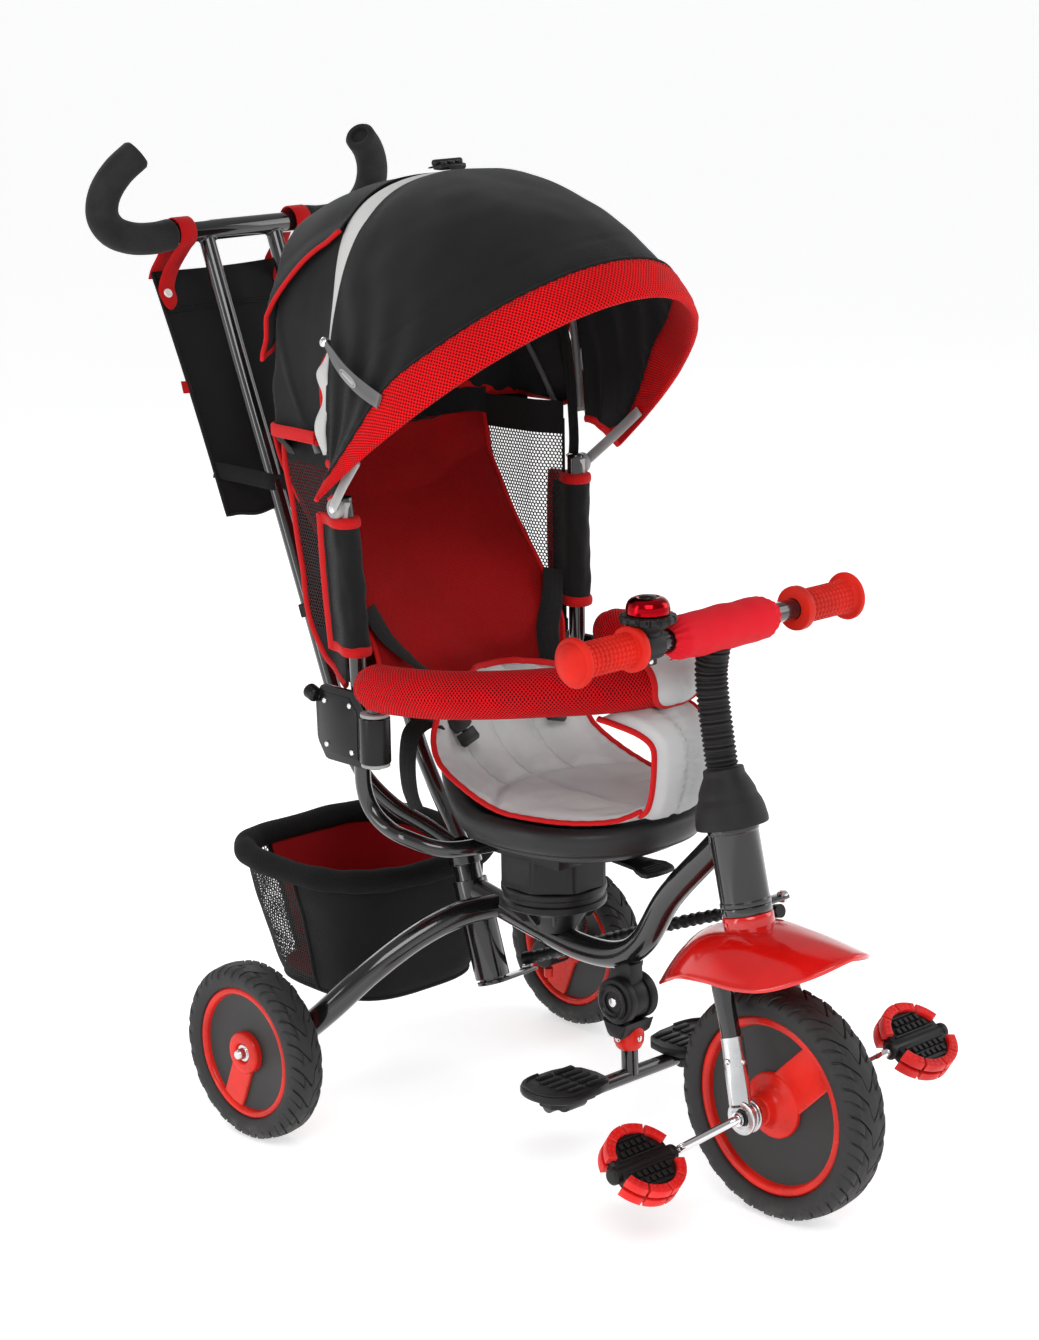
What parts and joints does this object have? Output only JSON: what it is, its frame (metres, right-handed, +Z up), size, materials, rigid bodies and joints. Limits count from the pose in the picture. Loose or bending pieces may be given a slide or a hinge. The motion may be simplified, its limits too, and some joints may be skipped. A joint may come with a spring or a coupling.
{
  "type": "children's tricycle",
  "caption": "Child's push tricycle with steering push handle, folding hood, swivelling seat, opening safety bars, folding footrest, pedals on the front wheel and a rear basket.",
  "frame": {"origin": "centre of the bounding box's bottom, on the floor", "axes": "+Z up, the front of the tricycle faces -Y, +X is the child's left"},
  "size_m": [0.5598, 1.0346, 1.0915],
  "materials": {
    "black_paint": "gloss",
    "black_plastic": "satin",
    "black_rubber": "matte",
    "tyre_foam": "matte",
    "red_plastic": "gloss",
    "red_rubber": "satin",
    "red_fabric": "matte",
    "black_fabric": "matte",
    "grey_fabric": "matte",
    "chrome": "polished"
  },
  "bodies": {
    "frame": {"head_tube": "black_paint", "main_tube": "black_paint", "rear_arm_left": "black_paint", "rear_arm_right": "black_paint", "pedestal_ring": "black_plastic", "steering_sleeve": "black_paint", "basket": "black_fabric", "footrest_hinge": "black_plastic"},
    "steering": {"steer_column": "chrome", "steering_arm": "black_paint", "fork": "black_paint", "fender": "red_plastic", "stem_cover": "black_rubber", "stem_bellows": "black_rubber", "handlebar": "black_paint", "grip_left": "red_rubber", "grip_right": "red_rubber", "handlebar_pad": "red_fabric", "bell": "red_plastic"},
    "bell_ring": {"bell_dial": "black_plastic"},
    "front_wheel": {"front_tyre": "tyre_foam", "front_disc": "red_plastic", "crank_axle": "chrome"},
    "left_pedal": {"pedal_left": "black_plastic"},
    "right_pedal": {"pedal_right": "black_plastic"},
    "rear_wheel_left": {"rear_tyre_left": "tyre_foam", "rear_disc_left": "red_plastic", "rear_axle_left": "chrome"},
    "rear_wheel_right": {"rear_tyre_right": "tyre_foam", "rear_disc_right": "red_plastic", "rear_axle_right": "chrome"},
    "push_handle": {"push_shaft": "black_paint", "push_frame": "black_paint", "push_grip_left": "black_rubber", "push_grip_right": "black_rubber", "handle_bag": "black_fabric"},
    "link": {"tie_rod": "black_rubber"},
    "footrest": {"footrest_post": "black_paint", "foot_plate_left": "black_plastic", "foot_plate_right": "black_plastic"},
    "seat": {"seat_turntable": "black_plastic", "seat_pan": "black_plastic", "seat_cushion": "grey_fabric", "crotch_pad": "grey_fabric", "side_frame_left": "black_paint", "side_frame_right": "black_paint", "bracket_left": "black_plastic", "bracket_right": "black_plastic"},
    "seat_release": {"seat_release_lever": "black_plastic"},
    "backrest": {"post_left": "black_paint", "post_right": "black_paint", "wing_left": "red_fabric", "wing_right": "red_fabric", "back_panel": "red_fabric", "canopy_rear": "black_fabric"},
    "canopy": {"canopy_front": "black_fabric"},
    "bar_left": {"safety_bar_left": "red_fabric"},
    "bar_right": {"safety_bar_right": "red_fabric"},
    "button_left": {"release_button_left": "red_plastic"},
    "button_right": {"release_button_right": "red_plastic"}
  },
  "joints": [
    {"name": "steering_turn", "type": "hinge", "parent": "frame", "child": "steering", "pos_m": [0, -0.34013, 0.33], "axis": [0, 0.2265, 0.974], "range_deg": [-22, 22]},
    {"name": "front_wheel_spin", "type": "hinge", "parent": "steering", "child": "front_wheel", "pos_m": [0, -0.39233, 0.125], "axis": [1, 0, 0], "continuous": true},
    {"name": "left_pedal_spin", "type": "hinge", "parent": "front_wheel", "child": "left_pedal", "pos_m": [0.17, -0.43113, 0.1558], "axis": [1, 0, 0], "continuous": true},
    {"name": "right_pedal_spin", "type": "hinge", "parent": "front_wheel", "child": "right_pedal", "pos_m": [-0.17, -0.35353, 0.0942], "axis": [1, 0, 0], "continuous": true},
    {"name": "bell_twist", "type": "hinge", "parent": "steering", "child": "bell_ring", "pos_m": [-0.1, -0.29683, 0.646], "axis": [0, 0, 1], "range_deg": [0, 40], "stiffness_Nm_per_rad": 0.05},
    {"name": "rear_left_spin", "type": "hinge", "parent": "frame", "child": "rear_wheel_left", "pos_m": [0.25345, 0.17137, 0.101], "axis": [1, 0, 0], "continuous": true},
    {"name": "rear_right_spin", "type": "hinge", "parent": "frame", "child": "rear_wheel_right", "pos_m": [-0.25345, 0.17137, 0.101], "axis": [1, 0, 0], "continuous": true},
    {"name": "push_handle_turn", "type": "hinge", "parent": "frame", "child": "push_handle", "pos_m": [0, 0.06867, 0.2077], "axis": [0, 0.3108, 0.9505], "range_deg": [-22, 22]},
    {"name": "link_pivot", "type": "hinge", "parent": "push_handle", "child": "link", "pos_m": [0.055, 0.04907, 0.1478], "axis": [0, 0.3108, 0.9505], "range_deg": [-22, 22]},
    {"name": "footrest_fold", "type": "hinge", "parent": "frame", "child": "footrest", "pos_m": [0, -0.16683, 0.183], "axis": [1, 0, 0], "range_deg": [0, 60]},
    {"name": "seat_swivel", "type": "hinge", "parent": "frame", "child": "seat", "pos_m": [0, -0.05233, 0.2925], "axis": [0, 0, 1], "range_deg": [-90, 90]},
    {"name": "seat_release_pull", "type": "hinge", "parent": "seat", "child": "seat_release", "pos_m": [0, -0.09733, 0.341], "axis": [1, 0, 0], "range_deg": [-4, 0], "stiffness_Nm_per_rad": 1},
    {"name": "backrest_recline", "type": "hinge", "parent": "seat", "child": "backrest", "pos_m": [0, 0.07567, 0.455], "axis": [1, 0, 0], "range_deg": [-12, 0]},
    {"name": "canopy_fold", "type": "hinge", "parent": "backrest", "child": "canopy", "pos_m": [0, 0.08467, 0.72], "axis": [1, 0, 0], "range_deg": [-45, 0]},
    {"name": "bar_left_swing", "type": "hinge", "parent": "seat", "child": "bar_left", "pos_m": [0.18, 0.03567, 0.47], "axis": [0, 0, 1], "range_deg": [0, 50]},
    {"name": "bar_right_swing", "type": "hinge", "parent": "seat", "child": "bar_right", "pos_m": [-0.18, 0.03567, 0.47], "axis": [0, 0, 1], "range_deg": [-50, 0]},
    {"name": "button_left_press", "type": "slide", "parent": "frame", "child": "button_left", "axis": [0, 0, 1], "range_m": [0, 0.003], "stiffness_N_per_m": 150},
    {"name": "button_right_press", "type": "slide", "parent": "frame", "child": "button_right", "axis": [0, 0, 1], "range_m": [0, 0.003], "stiffness_N_per_m": 150}
  ],
  "couplings": [
    {"joint": "push_handle_turn", "follows": "steering_turn", "ratio": 1},
    {"joint": "link_pivot", "follows": "steering_turn", "ratio": -1}
  ]
}
